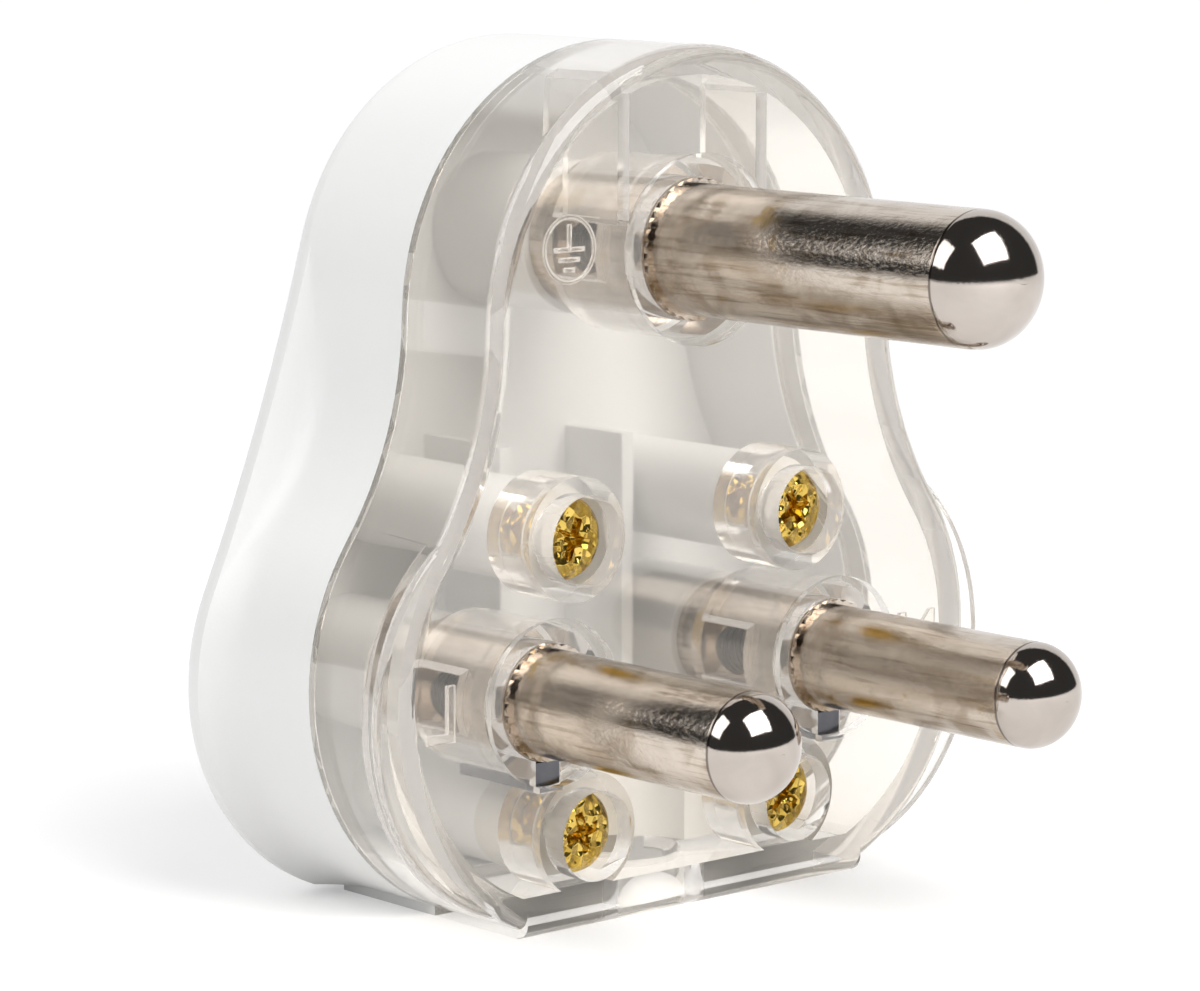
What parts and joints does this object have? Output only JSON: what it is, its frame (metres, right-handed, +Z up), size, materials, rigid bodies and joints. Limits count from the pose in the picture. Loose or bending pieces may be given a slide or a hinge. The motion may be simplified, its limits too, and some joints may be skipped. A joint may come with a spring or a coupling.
{
  "type": "three-pin plug top",
  "caption": "Rewirable plug top with round hollow pins, a clear front shell, a white back cover and recessed cross-head screws.",
  "frame": {"origin": "under the middle of the box round the plug, on the flat end of the cord entry that it stands on", "axes": "+Z up from the cord entry to the earth pin, -Y along the pins out of the face, +X to the right as seen from the pins' side, with the live pin on -X"},
  "size_m": [0.0542, 0.051, 0.0574],
  "materials": {
    "clear_plastic": "clear, polished",
    "white_plastic": "white, satin",
    "clamp_plastic": "off-white, satin",
    "nickel": "nickel plate, lightly worn",
    "brass": "turned",
    "terminal_steel": "plated",
    "dark_steel": "dark",
    "gold_screw": "gold-coloured plate"
  },
  "bodies": {
    "root": {"front_shell": "clear_plastic", "back_cover": "white_plastic", "cord_clamp": "clamp_plastic", "earth_pin": "nickel", "live_pin": "nickel", "neutral_pin": "nickel", "earth_terminal_bush": "brass", "live_terminal_bush": "brass", "neutral_terminal_bush": "brass", "earth_terminal_screw": "terminal_steel", "live_terminal_screw": "terminal_steel", "neutral_terminal_screw": "terminal_steel", "live_pin_key": "dark_steel", "neutral_pin_key": "dark_steel", "case_screw_upper_left": "gold_screw", "case_screw_upper_right": "gold_screw", "case_screw_lower_left": "gold_screw", "case_screw_lower_right": "gold_screw"}
  },
  "joints": []
}
